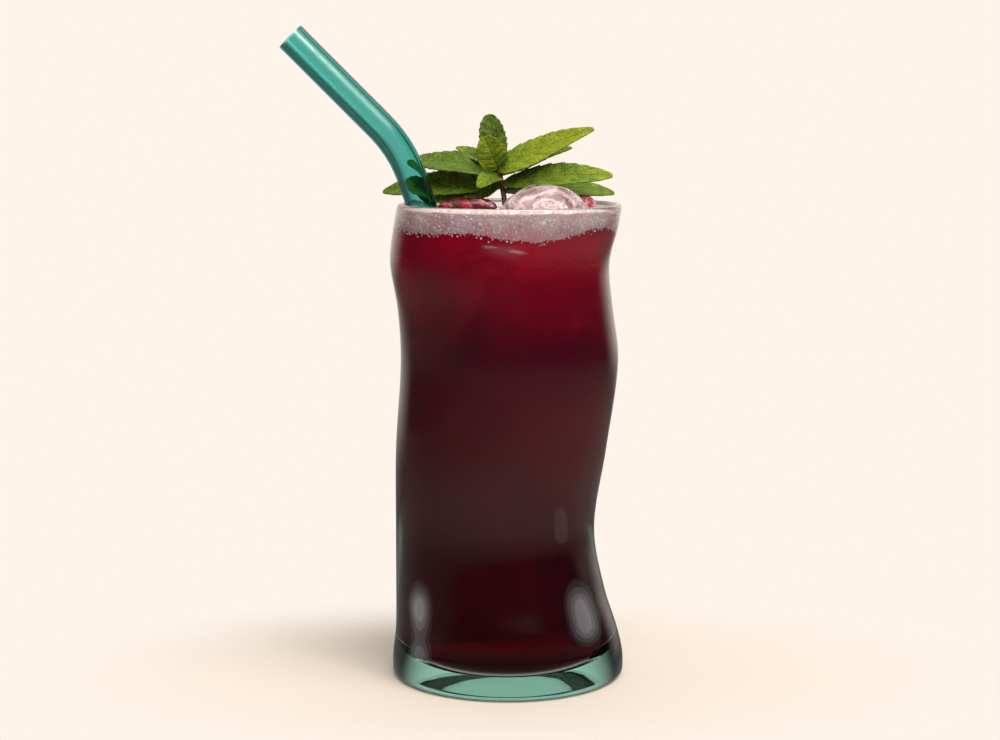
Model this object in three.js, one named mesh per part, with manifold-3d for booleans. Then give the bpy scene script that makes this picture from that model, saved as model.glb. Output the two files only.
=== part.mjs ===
// A tall wavy tumbler of iced pomegranate juice with froth, ice, a bent glass straw and mint.
// Millimetres. The tumbler rests on Z = 0, +Z is up and its front faces -Y.
import * as THREE from 'three';
import { mergeVertices } from 'three/addons/utils/BufferGeometryUtils.js';
import Module from 'manifold-3d';

const wasm = await Module();
wasm.setup();

const GAP = 0.3;
const WELD = 0.001;

// Tumbler: at each height the section is a circle, moved to the right and to the back.
const GLASS_HEIGHT = 150;
const GLASS_SIDES = 32;
const GLASS_STEP = 8;
const FOOT_ROUND = 2;
const FLOOR_THICKNESS = 4.2;
const FLOOR_CORNER = 7;
const LIP_ROUND = 0.9;
const FOOT_STEPS = 3;
const CORNER_STEPS = 4;
const LIP_STEPS = 4;
const STATIONS = [
  { height: 0, right: 0.1, back: 0, radius: 36.9, wall: 11 },
  { height: 6, right: 0.1, back: 0, radius: 37.0, wall: 11 },
  { height: 14, right: -0.3, back: 0, radius: 35.6, wall: 9.3 },
  { height: 27, right: -2.3, back: -0.1, radius: 33.4, wall: 9.6 },
  { height: 47, right: -4.0, back: 0, radius: 31.65, wall: 9.6 },
  { height: 73, right: -2.05, back: -0.9, radius: 33.35, wall: 6.5 },
  { height: 101, right: 0.6, back: -0.9, radius: 34.3, wall: 3.9 },
  { height: 118, right: -0.85, back: -0.6, radius: 33.85, wall: 3.0 },
  { height: 132, right: -2.55, back: 0.3, radius: 34.5, wall: 2.5 },
  { height: 143, right: -0.55, back: 1.1, radius: 35.35, wall: 2.1 },
  { height: 150, right: 0.65, back: 1.0, radius: 35.2, wall: 1.8 },
];

// Juice and froth: the froth hangs down the wall in waves.
const JUICE_LEVEL = 142.3;
const FROTH_LEVEL = 147.7;
const FROTH_CLIMB = 0.7;
const FROTH_BUMP = { size: 0.35, across: 0.55, along: 0.5, turn: 1 };
const WAVE_LONG = { count: 3, size: 0.95, turn: -79 };
const WAVE_SHORT = { count: 5, size: 0.95, turn: -175 };
const SURFACE_STEP = 3;
const SURFACE_SHARES = [1, 0.86, 0.6, 0.3, 0];
const CLIMB_SHARES = [1, 0.96];
const FROTH_SHARES = [0.88, 0.7, 0.5, 0.3, 0];

// Ice: rounded blocks that stand out of the froth.
const ICE_DOME = { at: [11.6, -4, 139], half: [15.5, 14, 17], power: 2.3, lean: 0 };
const ICE_LEFT = { at: [-12.6, 3.2, 145.2], half: [9.7, 4.6, 6.4], power: 4, lean: -3 };
const ICE_RIGHT = { at: [24, 12, 147.4], half: [4.4, 4.6, 4.6], power: 2.6, lean: 10 };
const ICE_SIDES = 16;
const ICE_RINGS = 11;

// Straw: a glass tube, straight up from the floor, one bend, a straight mouth end.
const STRAW_RADIUS = 4.7;
const STRAW_BORE = 3.3;
const STRAW_SIDES = 14;
const STRAW_BEND_STEPS = 6;
const STRAW_FOOT = [19.9, 0, 9.4];
const STRAW_KNEE = [-32.5, -7.2, 167.3];
const STRAW_MOUTH = [-66.4, -8.2, 201.3];
const STRAW_BEND = 10;
const STRAW_SHARES = [0.25, 0.5, 0.75];
const STRAW_FILL_EXTRA = 1.2;

// Mint: leaves given by root, tip, the way the upper face looks, width, rise of the middle, belly,
// which moves the widest place towards the tip, and round, which is smaller for a blunter tip.
const STEM_PATH = [[0.2, 9, 134], [-0.8, 9, 148.5], [-1.8, 8.6, 155.5], [-3.2, 8, 162]];
const STEM_RADIUS = 0.85;
const STEM_STEPS = 8;
const STEM_SIDES = 4;
const LEAF_THICKNESS = 0.5;
const LEAF_ACROSS = 4;
const LEAF_ALONG = 8;
const LEAF_NECK = 0.09;
const LEAF_FOLD = 0.2;
const LEAF_RIPPLE = 0.35;
const LEAF_RIPPLE_TURN = 7;
const LEAVES = [
  {
    root: [-3.0, 8.6, 160], tip: [-6.0, 10.5, 177.6], up: [0, -1, 0.2],
    wide: 8.6, rise: 0.6, belly: 1.1, round: 0.5,
  },
  {
    root: [-3.2, 7.6, 160.4], tip: [-7.6, 2.4, 170.8], up: [0, -0.9, 0.2],
    wide: 9.6, rise: 1, belly: 0.9, round: 0.5,
  },
  {
    root: [-2.6, 8, 160], tip: [27.1, 5, 173.1], up: [-0.2, -0.7, 0.7],
    wide: 10.5, rise: 1, belly: 0.62, round: 0.75,
  },
  {
    root: [-2.4, 9, 158.5], tip: [20.5, 15, 167], up: [-0.1, -0.4, 0.9],
    wide: 9, rise: 0.8, belly: 0.8, round: 0.8,
  },
  {
    root: [-1.8, 8.2, 155.6], tip: [33, 3, 158.5], up: [0, -0.75, 0.66],
    wide: 9, rise: 1.8, belly: 0.9, round: 0.65,
  },
  {
    root: [-1.5, 9.6, 153.3], tip: [34.2, 16, 152.4], up: [0, -0.55, 0.82],
    wide: 10, rise: 1.7, belly: 1, round: 0.7,
  },
  {
    root: [-3, 8.6, 159], tip: [-31.6, 13, 162.4], up: [0, -0.6, 0.8],
    wide: 10.5, rise: 1.8, belly: 0.8, round: 0.6,
  },
  {
    root: [-3.1, 8.8, 160.4], tip: [-16.4, 17.5, 167], up: [0.2, -0.6, 0.8],
    wide: 6.5, rise: 1, belly: 0.8, round: 0.8,
  },
  {
    root: [-2.2, 8.8, 156.6], tip: [-30, 15, 153.2], up: [0, -0.97, 0.2],
    wide: 12, rise: 1.2, belly: 0.8, round: 0.6,
  },
  {
    root: [-1.7, 9.4, 154.6], tip: [-40, 18, 152.8], up: [0, -0.7, 0.7],
    wide: 10, rise: 2, belly: 1.1, round: 0.75,
  },
  {
    root: [-2.3, 8, 157.6], tip: [-9.4, 0.4, 154.8], up: [-0.3, -0.8, 0.6],
    wide: 7, rise: 1.4, belly: 0.9, round: 0.7,
  },
];

function between(height, key) {
  const last = STATIONS.length - 1;
  let i = 0;
  while (i < last - 1 && height > STATIONS[i + 1].height) i += 1;
  const slope = (j) => {
    const before = STATIONS[Math.max(j - 1, 0)];
    const after = STATIONS[Math.min(j + 1, last)];
    return (after[key] - before[key]) / (after.height - before.height);
  };
  const low = STATIONS[i];
  const high = STATIONS[i + 1];
  const span = high.height - low.height;
  const t = (height - low.height) / span;
  const ease = t * t * (3 - 2 * t);
  const leave = t * (1 - t) * (1 - t) * span * slope(i);
  const arrive = t * t * (1 - t) * span * slope(i + 1);
  return low[key] + (high[key] - low[key]) * ease + leave - arrive;
}

const outer = (height) => between(height, 'radius');
const inner = (height) => between(height, 'radius') - between(height, 'wall');

function bend(geometry, move) {
  const place = geometry.attributes.position;
  const point = new THREE.Vector3();
  for (let i = 0; i < place.count; i += 1) {
    point.fromBufferAttribute(place, i);
    move(point);
    place.setXYZ(i, point.x, point.y, point.z);
  }
  return geometry;
}

function sway(point) {
  point.x += between(point.z, 'right');
  point.y += between(point.z, 'back');
}

function lathe(outline) {
  return new THREE.LatheGeometry(outline, GLASS_SIDES).rotateX(Math.PI / 2);
}

function levels(low, high) {
  const count = Math.round((high - low) / GLASS_STEP);
  return Array.from({ length: count + 1 }, (_, i) => low + ((high - low) * i) / count);
}

function arc(x, z, radius, from, to, count) {
  const curve = new THREE.EllipseCurve(x, z, radius, radius, from, to, to < from);
  return curve.getPoints(count);
}

function cavityOutline(inset, top) {
  const corner = FLOOR_THICKNESS + FLOOR_CORNER;
  const centre = inner(corner) - FLOOR_CORNER;
  const floor = arc(centre, corner, FLOOR_CORNER - inset, -Math.PI / 2, 0, CORNER_STEPS);
  const wall = levels(corner, top).slice(1).map((z) => new THREE.Vector2(inner(z) - inset, z));
  return [new THREE.Vector2(0, FLOOR_THICKNESS + inset), ...floor, ...wall];
}

function glassGeometry() {
  const lip = GLASS_HEIGHT - LIP_ROUND;
  const foot = arc(outer(FOOT_ROUND) - FOOT_ROUND, FOOT_ROUND, FOOT_ROUND, -Math.PI / 2, 0, FOOT_STEPS);
  const outside = levels(FOOT_ROUND, lip).slice(1).map((z) => new THREE.Vector2(outer(z), z));
  const rim = arc(outer(lip) - LIP_ROUND, lip, LIP_ROUND, 0, Math.PI, LIP_STEPS).slice(1, -1);
  const inside = cavityOutline(0, lip).reverse();
  return bend(lathe([new THREE.Vector2(0, 0), ...foot, ...outside, ...rim, ...inside]), sway);
}

function frothWave(point) {
  const angle = Math.atan2(point.y, point.x);
  const share = Math.min(Math.hypot(point.x, point.y) / inner(JUICE_LEVEL), 1);
  const wave = [WAVE_LONG, WAVE_SHORT].reduce(
    (sum, w) => sum + w.size * Math.cos(w.count * angle - THREE.MathUtils.degToRad(w.turn)),
    0,
  );
  return wave * share ** 3;
}

function acrossLevel(level, inset, shares) {
  const reach = inner(level) - inset;
  return shares.map((share) => new THREE.Vector2(reach * share, level));
}

function juiceBody() {
  const below = cavityOutline(GAP, JUICE_LEVEL - SURFACE_STEP);
  const surface = acrossLevel(JUICE_LEVEL, GAP, SURFACE_SHARES);
  return bend(lathe([...below, ...surface]), (point) => {
    if (point.z > JUICE_LEVEL - GAP) point.z += frothWave(point);
    sway(point);
  });
}

function frothBump(point) {
  const { size, across, along, turn } = FROTH_BUMP;
  return size * Math.sin(point.x * across + turn) * Math.cos(point.y * along);
}

function frothBody() {
  const under = JUICE_LEVEL + GAP;
  const climb = FROTH_LEVEL + FROTH_CLIMB;
  const outline = [
    ...acrossLevel(under, GAP, SURFACE_SHARES).reverse(),
    ...acrossLevel(climb, GAP, CLIMB_SHARES),
    ...acrossLevel(FROTH_LEVEL, GAP, FROTH_SHARES),
  ];
  return bend(lathe(outline), (point) => {
    if (point.z < under + GAP) point.z += frothWave(point);
    else point.z += frothBump(point);
    sway(point);
  });
}

function iceBody(block, spare) {
  const turn = new THREE.Matrix4().makeRotationY(THREE.MathUtils.degToRad(block.lean));
  const squash = (value) => Math.sign(value) * Math.abs(value) ** (2 / block.power);
  const ball = new THREE.SphereGeometry(1, ICE_SIDES, ICE_RINGS).rotateX(Math.PI / 2);
  bend(ball, (point) => {
    const flat = Math.hypot(point.x, point.y) || 1;
    const round = Math.abs(flat) ** (2 / block.power);
    const x = squash(point.x / flat) * round;
    const y = squash(point.y / flat) * round;
    const [wide, deep, high] = block.half.map((half) => half + spare);
    point.set(x * wide, y * deep, squash(point.z) * high);
  });
  return ball.applyMatrix4(turn).translate(...block.at);
}

function strawPath() {
  const foot = new THREE.Vector3(...STRAW_FOOT);
  const knee = new THREE.Vector3(...STRAW_KNEE);
  const mouth = new THREE.Vector3(...STRAW_MOUTH);
  const before = knee.clone().add(foot.clone().sub(knee).setLength(STRAW_BEND));
  const after = knee.clone().add(mouth.clone().sub(knee).setLength(STRAW_BEND));
  const path = new THREE.CurvePath();
  path.add(new THREE.LineCurve3(foot, before));
  path.add(new THREE.QuadraticBezierCurve3(before, knee, after));
  path.add(new THREE.LineCurve3(after, mouth));
  return path;
}

function strawBody(radius, bore, extra) {
  const path = strawPath();
  const [bendStart, bendEnd, length] = path.getCurveLengths();
  const turn = (bendEnd - bendStart) / STRAW_BEND_STEPS;
  const bendStations = Array.from({ length: STRAW_BEND_STEPS + 1 }, (_, i) => bendStart + turn * i);
  const straight = STRAW_SHARES.map((share) => share * bendStart);
  const stations = [-extra, ...straight, ...bendStations, length];
  const skin = stations.map((s) => new THREE.Vector2(radius, s));
  const lining = bore ? stations.map((s) => new THREE.Vector2(bore, s)).reverse() : [];
  const ends = bore ? [skin[0]] : [new THREE.Vector2(0, length)];
  const start = bore ? [] : [new THREE.Vector2(0, -extra)];
  const tube = new THREE.LatheGeometry([...start, ...skin, ...lining, ...ends], STRAW_SIDES);
  const lean = path.getPoint(1).sub(path.getPoint(0));
  const bendAxis = lean.cross(THREE.Object3D.DEFAULT_UP);
  return bend(tube, (point) => {
    const share = THREE.MathUtils.clamp(point.y / length, 0, 1);
    const way = path.getTangent(share);
    const back = bendAxis.clone().projectOnPlane(way).normalize();
    const across = way.clone().cross(back);
    const offset = across.multiplyScalar(point.x).addScaledVector(back, point.z);
    offset.addScaledVector(way, point.y - share * length);
    point.copy(path.getPoint(share)).add(offset);
  });
}

function stemBody(radius) {
  const path = new THREE.CatmullRomCurve3(STEM_PATH.map((p) => new THREE.Vector3(...p)));
  const shape = new THREE.Shape().absarc(0, 0, radius, 0, Math.PI * 2);
  const settings = { steps: STEM_STEPS, curveSegments: STEM_SIDES, extrudePath: path, bevelEnabled: false };
  return new THREE.ExtrudeGeometry(shape, settings);
}

function thicken(sheet) {
  sheet.computeVertexNormals();
  const place = sheet.attributes.position;
  const normal = sheet.attributes.normal;
  const count = place.count;
  const corners = [];
  for (const side of [1, -1]) {
    for (let i = 0; i < count; i += 1) {
      const point = new THREE.Vector3().fromBufferAttribute(place, i);
      const out = new THREE.Vector3().fromBufferAttribute(normal, i);
      point.addScaledVector(out, (side * LEAF_THICKNESS) / 2);
      corners.push(point.x, point.y, point.z);
    }
  }
  const faces = [];
  const flat = sheet.index.array;
  for (let i = 0; i < flat.length; i += 3) {
    const [a, b, c] = flat.slice(i, i + 3);
    faces.push(a, b, c, c + count, b + count, a + count);
  }
  const row = LEAF_ACROSS + 1;
  const edge = [];
  for (let i = 0; i < LEAF_ALONG; i += 1) edge.push(i * row);
  for (let i = 0; i < LEAF_ACROSS; i += 1) edge.push(LEAF_ALONG * row + i);
  for (let i = LEAF_ALONG; i > 0; i -= 1) edge.push(i * row + LEAF_ACROSS);
  for (let i = LEAF_ACROSS; i > 0; i -= 1) edge.push(i);
  edge.forEach((p, i) => {
    const q = edge[(i + 1) % edge.length];
    faces.push(q, p, p + count, q, p + count, q + count);
  });
  const thick = new THREE.BufferGeometry();
  thick.setAttribute('position', new THREE.Float32BufferAttribute(corners, 3));
  return thick.setIndex(faces);
}

function leafBody(leaf, order) {
  const root = new THREE.Vector3(...leaf.root);
  const reach = new THREE.Vector3(...leaf.tip).sub(root);
  const axis = reach.clone().normalize();
  const side = axis.clone().cross(new THREE.Vector3(...leaf.up)).normalize();
  const up = side.clone().cross(axis);
  const sheet = new THREE.PlaneGeometry(1, 1, LEAF_ACROSS, LEAF_ALONG);
  bend(sheet, (point) => {
    const u = point.y + 0.5;
    const v = point.x * 2;
    const spread = Math.sin(Math.PI * u ** leaf.belly) ** leaf.round;
    const half = (leaf.wide / 2) * (LEAF_NECK + (1 - LEAF_NECK) * spread);
    const fold = LEAF_FOLD * Math.abs(v) * half;
    const ripple = LEAF_RIPPLE * v * v * Math.sin(LEAF_RIPPLE_TURN * u + order) * Math.sin(Math.PI * u);
    point.copy(root).addScaledVector(reach, u);
    point.addScaledVector(side, v * half);
    point.addScaledVector(up, leaf.rise * 4 * u * (1 - u) + fold + ripple);
  });
  return thicken(sheet);
}

function solid(geometry) {
  const bare = geometry.clone();
  bare.deleteAttribute('normal');
  bare.deleteAttribute('uv');
  const merged = mergeVertices(bare, WELD);
  const index = merged.index.array;
  const whole = [];
  for (let i = 0; i < index.length; i += 3) {
    const [a, b, c] = index.slice(i, i + 3);
    if (a !== b && b !== c && c !== a) whole.push(a, b, c);
  }
  const vertProperties = merged.attributes.position.array;
  return new wasm.Manifold(
    new wasm.Mesh({ numProp: 3, vertProperties, triVerts: new Uint32Array(whole) }),
  );
}

function geometryOf(body) {
  const mesh = body.getMesh();
  const geometry = new THREE.BufferGeometry();
  geometry.setAttribute('position', new THREE.BufferAttribute(mesh.vertProperties, 3));
  geometry.setIndex(new THREE.BufferAttribute(mesh.triVerts, 1));
  geometry.computeVertexNormals();
  return geometry;
}

const strawHole = solid(strawBody(STRAW_RADIUS + GAP, 0, GAP));
const strawFill = solid(strawBody(STRAW_BORE - GAP, 0, STRAW_FILL_EXTRA));
const iceHoles = [ICE_DOME, ICE_LEFT, ICE_RIGHT].map((block) => solid(iceBody(block, GAP)));
const cutters = [strawHole, solid(stemBody(STEM_RADIUS + GAP)), ...iceHoles];
const clear = (body) => cutters.reduce((left, cutter) => left.subtract(cutter), body);

const juiceWhole = solid(juiceBody());
const juice = clear(juiceWhole).add(strawFill.intersect(juiceWhole));
const froth = clear(solid(frothBody()));
const leaves = LEAVES.map((leaf, i) => solid(leafBody(leaf, i)));
const mint = leaves.reduce((sum, leaf) => sum.add(leaf), solid(stemBody(STEM_RADIUS)));

const drink = new THREE.Group();
drink.name = 'pomegranate_juice';

function piece(name, geometry, color, roughness) {
  const mesh = new THREE.Mesh(geometry, new THREE.MeshStandardMaterial({ color, roughness }));
  mesh.name = name;
  drink.add(mesh);
}

piece('glass', geometryOf(solid(glassGeometry())), 0xbfe0d2, 0.05);
piece('juice', geometryOf(juice), 0x4a0610, 0.1);
piece('froth', geometryOf(froth), 0xe9c9cf, 0.7);
piece('ice_dome', geometryOf(solid(iceBody(ICE_DOME, 0))), 0xe8dfe0, 0.1);
piece('ice_left', geometryOf(solid(iceBody(ICE_LEFT, 0))), 0xa01024, 0.1);
piece('ice_right', geometryOf(solid(iceBody(ICE_RIGHT, 0))), 0xc04a5a, 0.1);
piece('straw', geometryOf(solid(strawBody(STRAW_RADIUS, STRAW_BORE, 0))), 0x2a9a8a, 0.05);
piece('mint_sprig', geometryOf(mint), 0x4c7a14, 0.5);

export default drink;
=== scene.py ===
"""A tall wavy tumbler of iced pomegranate juice with froth, a bent glass straw and a sprig of mint."""

import math
import random

import bpy
from mathutils import Matrix, Vector, noise


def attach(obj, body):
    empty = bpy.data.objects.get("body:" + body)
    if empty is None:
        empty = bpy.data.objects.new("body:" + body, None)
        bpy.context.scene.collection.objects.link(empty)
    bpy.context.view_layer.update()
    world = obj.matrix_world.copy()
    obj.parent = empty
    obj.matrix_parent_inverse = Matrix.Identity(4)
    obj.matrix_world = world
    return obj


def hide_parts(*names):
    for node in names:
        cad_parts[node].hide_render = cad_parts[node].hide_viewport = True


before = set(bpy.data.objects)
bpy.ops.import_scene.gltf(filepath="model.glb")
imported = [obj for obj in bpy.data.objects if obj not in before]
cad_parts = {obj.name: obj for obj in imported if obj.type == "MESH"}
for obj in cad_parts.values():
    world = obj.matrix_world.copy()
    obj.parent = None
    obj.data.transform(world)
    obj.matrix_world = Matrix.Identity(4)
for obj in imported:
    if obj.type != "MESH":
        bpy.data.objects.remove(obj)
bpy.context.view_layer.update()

MM = 0.001
OVERLAP = 0.2
SMOOTH = {"interpolation_type": "SMOOTHSTEP"}
GLASS_IOR = 1.52
JUICE_IOR = 1.345
ICE_IOR = 1.31
ICE_TINT = (0.95, 0.75, 0.78, 1)
random.seed(7)

# Tumbler: height, shift to the right, shift to the back, outer radius and wall, in mm.
GLASS_HEIGHT = 150.0
FOOT_ROUND = 2.0
FLOOR_THICKNESS = 4.2
FLOOR_CORNER = 7.0
LIP_ROUND = 0.9
RIGHT, BACK, RADIUS, WALL = 1, 2, 3, 4
STATIONS = (
    (0, 0.1, 0, 36.9, 11),
    (6, 0.1, 0, 37.0, 11),
    (14, -0.3, 0, 35.6, 9.3),
    (27, -2.3, -0.1, 33.4, 9.6),
    (47, -4.0, 0, 31.65, 9.6),
    (73, -2.05, -0.9, 33.35, 6.5),
    (101, 0.6, -0.9, 34.3, 3.9),
    (118, -0.85, -0.6, 33.85, 3.0),
    (132, -2.55, 0.3, 34.5, 2.5),
    (143, -0.55, 1.1, 35.35, 2.1),
    (150, 0.65, 1.0, 35.2, 1.8),
)
TUMBLER_SIDES = 96

# Juice and froth.
JUICE_LEVEL = 142.3
FROTH_LEVEL = 147.7
FROTH_CLIMB = 0.7
JUICE_UNDER_FROTH = 1.0
RAGGED_TOP = 0.5
FROTH_RAGS = ((0.6, 0.45), (0.6, 1.3), (0.4, 3))
FROTH_BUMPS = ((0.3, 0.25), (0.16, 0.9))
BUBBLE_COUNT = 2400
BIG_BUBBLES = (
    (-72, 145.6, 1.15),
    (-60, 144.3, 0.7),
    (-66, 146.6, 0.6),
    (-76.5, 146.9, 0.5),
    (-104, 145.4, 0.6),
)
FROTH_WAVES = ((3, 0.95, -79), (5, 0.95, -175))

# Cloud of the juice: colour at a share of the level, a painted glow near the top and painted shade towards the
# bottom, and the share of cloud at the top and low down.
CLOUD_TOP = 0.62
CLOUD_LOW = 0.8
CLOUD_PAINTED_LIGHT = (
    (0.0, "#320310"),
    (0.12, "#380314"),
    (0.28, "#4a041a"),
    (0.38, "#64041f"),
    (0.55, "#6e0522"),
    (0.75, "#64042a"),
    (0.88, "#ac0630"),
    (1.0, "#dc0a3c"),
)

# Ice: centre, half sizes, squareness and lean about Y.
ICE_DOME = ((11.6, -4, 139), (15.5, 14, 17), 2.3, 0)
ICE_LEFT = ((-12.6, 3.2, 145.2), (9.7, 4.6, 6.4), 4, -3)
ICE_RIGHT = ((24, 12, 147.4), (4.4, 4.6, 4.6), 2.6, 10)
ICE_DETAIL = 5
SUNK_MELT = 0.5
SUNK_ICE = (
    ((12, -8, 108), (12.5, 11, 12), 2.8, 12),
    ((12, 16.5, 122), (9, 7.5, 10), 2.8, -9),
    ((9, 13.5, 99), (11, 9, 10), 3.0, 6),
    ((-11, 14, 117), (11, 9, 12), 2.8, 15),
    ((-6, -18, 126), (8, 7, 9), 2.6, -20),
)

# Straw: foot, knee and mouth of its centre line.
STRAW_RADIUS = 4.7
STRAW_BORE = 3.3
STRAW_FOOT = Vector((19.9, 0, 9.4))
STRAW_KNEE = Vector((-32.5, -7.2, 167.3))
STRAW_MOUTH = Vector((-66.4, -8.2, 201.3))
STRAW_BEND = 10.0
STRAW_SIDES = 40

# Mint: root, tip, way the upper face looks, width, rise, belly,
# bluntness of the tip, tone at the root and at the tip. The tone is partly the leaf's own colour
# and partly painted light: lighter where a leaf is lit from behind, darker where it lies in shade.
STEM_PATH = ((0.2, 9, 134), (-0.8, 9, 148.5), (-1.8, 8.6, 155.5), (-3.2, 8, 162))
STEM_RADIUS = 0.85
LEAF_THICKNESS = 0.4
LEAF_NECK = 0.09
LEAF_FOLD = 0.2
LEAF_RIPPLE = 0.35
LEAF_CELLS = (66, 22)
LEAF_TEETH = 9
LEAF_TOOTH = 0.5
LEAF_PUCKER = 0.12
VEIN_PAIRS = 6
VEIN_SWEEP = 0.2
LEAVES = (
    ((-3.0, 8.6, 160), (-6.0, 10.5, 177.6), (0, -1, 0.2), 8.6, 0.6, 1.1, 0.5, 0.15, 0.3),
    ((-3.2, 7.6, 160.4), (-7.6, 2.4, 170.8), (0, -0.9, 0.2), 9.6, 1, 0.9, 0.5, 0.5, 0.7),
    ((-2.6, 8, 160), (27.1, 5, 173.1), (-0.2, -0.7, 0.7), 10.5, 1, 0.62, 0.75, 0.6, 0.85),
    ((-2.4, 9, 158.5), (20.5, 15, 167), (-0.1, -0.4, 0.9), 9, 0.8, 0.8, 0.8, 0.5, 0.4),
    ((-1.8, 8.2, 155.6), (33, 3, 158.5), (0, -0.75, 0.66), 9, 1.8, 0.9, 0.65, 0.1, 0.8),
    ((-1.5, 9.6, 153.3), (34.2, 16, 152.4), (0, -0.55, 0.82), 10, 1.7, 1, 0.7, 0.3, 0.5),
    ((-3, 8.6, 159), (-31.6, 13, 162.4), (0, -0.6, 0.8), 10.5, 1.8, 0.8, 0.6, 0.35, 0.25),
    ((-3.1, 8.8, 160.4), (-16.4, 17.5, 167), (0.2, -0.6, 0.8), 6.5, 1, 0.8, 0.8, 0.5, 0.6),
    ((-2.2, 8.8, 156.6), (-30, 15, 153.2), (0, -0.97, 0.2), 12, 1.2, 0.8, 0.6, 0.2, 0.3),
    ((-1.7, 9.4, 154.6), (-40, 18, 152.8), (0, -0.7, 0.7), 10, 2, 1.1, 0.75, 0.3, 0.5),
    ((-2.3, 8, 157.6), (-9.4, 0.4, 154.8), (-0.3, -0.8, 0.6), 7, 1.4, 0.9, 0.7, 0.45, 0.6),
)

# Camera, fitted to the photograph's rim, foot and outline.
CAMERA_PLACE = (-2.4, -629.0, 181.6)
CAMERA_DOWN = 7.62
CAMERA_LENS = 72.23
SENSOR_WIDTH = 36.0

# Paper floor and a small lamp, in mm and watts.
FLOOR_RADIUS = 400
FLOOR_DROP = 0.1
LAMP_SIZE = 120
LAMP_POWER = 1.5
LAMP_PLACE = (500, -600, 900)
LAMP_AIM = (0, 0, 150)
GLASS_BOUNCES = 40

# Light of the studio by direction, as shares of the background's.
BACK_LIGHT = 1.0
BACK_LOW = 0.04
TOP_LIGHT = 1.1
TABLE_LIGHT = 0.28
TABLE_FAR = 0.07
ROOM_LIGHT = 0.03
KEY_LIGHT = 5.6
FRONT_LIGHT = 0.6
KEY_WAY = (0.3, -0.5, 0.81)

# Small lamps that only the glass mirrors. Each has the spots of its left, right, lower and upper end
# on the wall as an angle in degrees and a height in mm, then its distance in mm and its brightness.
GLINTS = (
    ((-102.2, 138.5), (-76.7, 138.5), (-88.0, 135.9), (-90.0, 141.2), 40, 0.22),
    ((-101.3, 138.9), (-91.5, 138.7), (-96.2, 138.2), (-96.6, 139.4), 38, 0.9),
    ((-88.8, 138.1), (-76.8, 137.6), (-82.7, 137.3), (-83.1, 138.5), 38, 1.2),
    ((-148.7, 25.4), (-128.3, 27.6), (-138.3, 16.1), (-138.3, 36.6), 100, 0.9),
    ((-55.1, 26.1), (-29.9, 23.3), (-46.4, 14.2), (-44.6, 35.0), 45, 1.0),
)


def between(height, column):
    """Smooth value of a column of STATIONS at a height."""
    last = len(STATIONS) - 1
    i = 0
    while i < last - 1 and height > STATIONS[i + 1][0]:
        i += 1

    def slope(j):
        before, after = STATIONS[max(j - 1, 0)], STATIONS[min(j + 1, last)]
        return (after[column] - before[column]) / (after[0] - before[0])

    low, high = STATIONS[i], STATIONS[i + 1]
    span = high[0] - low[0]
    t = (height - low[0]) / span
    ease = t * t * (3 - 2 * t)
    leave = t * (1 - t) ** 2 * span * slope(i)
    arrive = t * t * (1 - t) * span * slope(i + 1)
    return low[column] + (high[column] - low[column]) * ease + leave - arrive


def outer(height):
    return between(height, RADIUS)


def inner(height):
    return between(height, RADIUS) - between(height, WALL)


def ring(height, radius):
    """A level ring of the swaying tumbler: x, y, z and radius in mm."""
    return (between(height, RIGHT), between(height, BACK), height, radius)


def spread(low, high, step):
    count = max(1, round((high - low) / step))
    return [low + (high - low) * i / count for i in range(count + 1)]


def quarter(radius, centre_r, centre_z, start, stop, count):
    """Rings on an arc of the profile, angles in degrees from the outward direction."""
    angles = [math.radians(start + (stop - start) * i / count) for i in range(count + 1)]
    return [ring(centre_z + radius * math.sin(a), centre_r + radius * math.cos(a)) for a in angles]


def fresh():
    bpy.ops.object.select_all(action="DESELECT")


def ring_tower(name, rings, sides):
    """Extrudes a disc through level rings into one closed body."""
    fresh()
    x, y, z, radius = (value * MM for value in rings[0])
    bpy.ops.mesh.primitive_circle_add(vertices=sides, radius=radius, fill_type="NGON", location=(x, y, z))
    body = bpy.context.object
    body.name = body.data.name = name
    bpy.ops.object.transform_apply(location=True, rotation=True, scale=True)
    bpy.ops.object.mode_set(mode="EDIT")
    bpy.ops.mesh.select_all(action="SELECT")
    for before, now in zip(rings, rings[1:]):
        step = (Vector(now[:3]) - Vector(before[:3])) * MM
        bpy.ops.mesh.extrude_region_move(TRANSFORM_OT_translate={"value": step})
        share = now[3] / before[3]
        bpy.ops.transform.resize(value=(share, share, 1), center_override=Vector(now[:3]) * MM)
    bpy.ops.mesh.select_all(action="SELECT")
    bpy.ops.mesh.normals_make_consistent(inside=False)
    bpy.ops.object.mode_set(mode="OBJECT")
    bpy.ops.object.shade_smooth()
    return body


def modify(body, kind, **settings):
    """Adds a modifier and applies it."""
    fresh()
    body.select_set(True)
    bpy.context.view_layer.objects.active = body
    made = body.modifiers.new(kind.lower(), kind)
    for name, value in settings.items():
        setattr(made, name, value)
    bpy.ops.object.modifier_apply(modifier=made.name)


def smooth(body, levels):
    modify(body, "SUBSURF", levels=levels, render_levels=levels)


def shade_by_angle(body, degrees):
    fresh()
    body.select_set(True)
    bpy.context.view_layer.objects.active = body
    bpy.ops.object.shade_smooth_by_angle(angle=math.radians(degrees))


def carve(body, cutter, operation="DIFFERENCE"):
    modify(body, "BOOLEAN", operation=operation, solver="MANIFOLD", object=cutter)


def drop(*bodies):
    for body in bodies:
        bpy.data.objects.remove(body, do_unlink=True)


def cavity_rings(inset, top, step):
    corner = FLOOR_THICKNESS + FLOOR_CORNER
    turn = quarter(FLOOR_CORNER - inset, inner(corner) - FLOOR_CORNER, corner, -90, 0, 8)
    wall = [ring(z, inner(z) - inset) for z in spread(corner, top, step)[1:]]
    floor = [ring(FLOOR_THICKNESS + inset, share * turn[0][3]) for share in (0.3, 0.65)]
    return floor + turn + wall


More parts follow.
